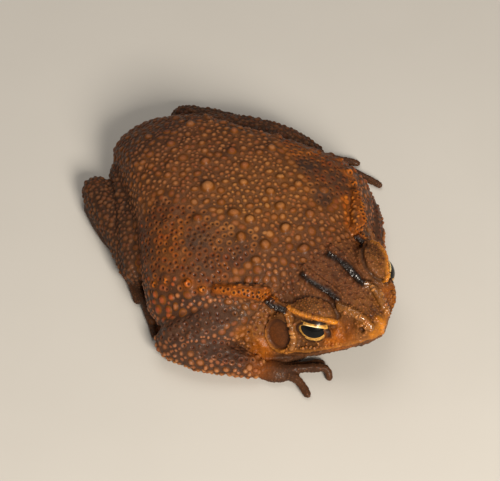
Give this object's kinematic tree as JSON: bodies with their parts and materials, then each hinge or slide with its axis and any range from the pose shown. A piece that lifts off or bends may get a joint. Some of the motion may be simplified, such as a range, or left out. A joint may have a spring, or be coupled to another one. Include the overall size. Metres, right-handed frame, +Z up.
{
  "type": "long-glanded toad (ingerophrynus quadriporcatus)",
  "caption": "Life-size still model of a long-glanded toad resting flat on its belly, with crest ridges, long neck glands and a warty brown back.",
  "frame": {"origin": "centre of the flat under the belly, on the floor plane", "axes": "+Z up; -Y the way the toad faces; -X its right side"},
  "size_m": [0.0484, 0.0565, 0.0154],
  "materials": {
    "back_skin": "moist satin, warty, rust brown",
    "head_skin": "moist satin, orange brown with black ridges",
    "throat_skin": "moist satin, granular",
    "limb_skin": "satin, dark grey brown with small tubercles",
    "ear_drum": "smooth satin membrane",
    "eye": "wet gloss, gold with a black pupil"
  },
  "bodies": {
    "root": {"head": "head_skin", "lower_jaw": "throat_skin", "torso": "back_skin", "eye_right": "eye", "tympanum_right": "ear_drum", "upper_arm_right": "limb_skin", "forearm_right": "limb_skin", "hand_right": "limb_skin", "thigh_right": "limb_skin", "shank_right": "limb_skin", "foot_right": "limb_skin", "eye_left": "eye", "tympanum_left": "ear_drum", "upper_arm_left": "limb_skin", "forearm_left": "limb_skin", "hand_left": "limb_skin", "thigh_left": "limb_skin", "shank_left": "limb_skin", "foot_left": "limb_skin"}
  },
  "joints": []
}
